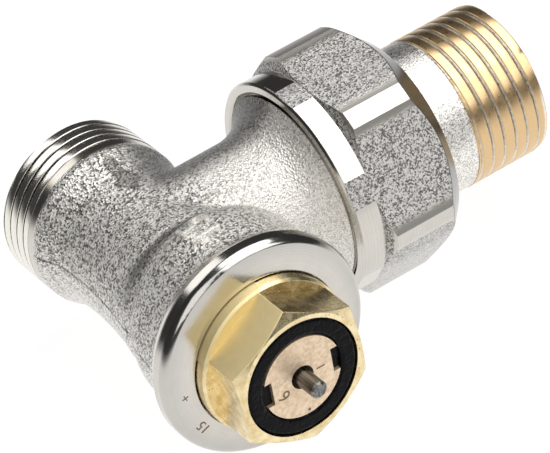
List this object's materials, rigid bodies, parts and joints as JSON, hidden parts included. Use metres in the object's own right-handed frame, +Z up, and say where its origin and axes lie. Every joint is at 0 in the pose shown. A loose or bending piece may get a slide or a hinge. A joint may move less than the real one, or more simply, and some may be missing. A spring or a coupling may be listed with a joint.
{
  "type": "angle radiator valve",
  "caption": "Angle radiator valve with a threaded pipe inlet, a union nut on a threaded tail, and a presetting insert whose sprung pin stands out of a hexagon inside the head collar.",
  "frame": {"origin": "the point where the tail's axis crosses the axis of the inlet and the insert", "axes": "+X along the union tail, towards the radiator; +Y along the inlet, towards the pipe; the insert's pin points along -Y; +Z up in the lying pose of the picture"},
  "size_m": [0.0677, 0.0541, 0.0314],
  "materials": {
    "nickel_plate": "nickel-plated brass, blasted matte and turned bright at the ends",
    "turned_brass": "satin turned brass",
    "black_ring": "glossy black",
    "pale_plastic": "matte off-white",
    "black_rubber": "matte black",
    "bright_steel": "drawn stainless steel"
  },
  "bodies": {
    "body": {"valve_body": "nickel_plate", "union_tail": "nickel_plate", "tail_oring": "black_rubber", "insert_housing": "turned_brass", "housing_oring": "black_rubber"},
    "slip": {"nut_slip_ring": "pale_plastic"},
    "nut": {"union_nut": "nickel_plate"},
    "preset": {"setting_ring": "black_ring", "preset_spindle": "turned_brass", "spindle_oring": "black_rubber", "spindle_circlip": "bright_steel", "throttle_sleeve": "pale_plastic", "stem_guide": "pale_plastic", "gland_bush": "turned_brass", "pin_oring_inner": "black_rubber", "pin_oring_outer": "black_rubber", "return_spring": "bright_steel"},
    "stem": {"steel_pin": "bright_steel", "valve_stem": "turned_brass", "spring_cap": "bright_steel", "stem_clip": "bright_steel", "valve_disc": "black_rubber", "disc_washer": "turned_brass", "disc_screw": "bright_steel"}
  },
  "joints": [
    {"name": "nut_travel", "type": "slide", "parent": "body", "child": "slip", "axis": [1, 0, 0], "range_m": [0, 0.0082]},
    {"name": "nut_turn", "type": "hinge", "parent": "slip", "child": "nut", "pos_m": [0, 0, 0], "axis": [1, 0, 0], "range_deg": [0, 1620]},
    {"name": "preset_turn", "type": "hinge", "parent": "body", "child": "preset", "pos_m": [0, 0, 0], "axis": [0, 1, 0], "range_deg": [0, 200]},
    {"name": "pin_press", "type": "slide", "parent": "preset", "child": "stem", "axis": [0, 1, 0], "range_m": [0, 0.00255], "stiffness_N_per_m": 3000, "springref_m": -0.0015, "deforming": ["return_spring"]}
  ],
  "couplings": [
    {"joint": "nut_travel", "follows": "nut_turn", "m_per_rad": 0.00028871}
  ]
}
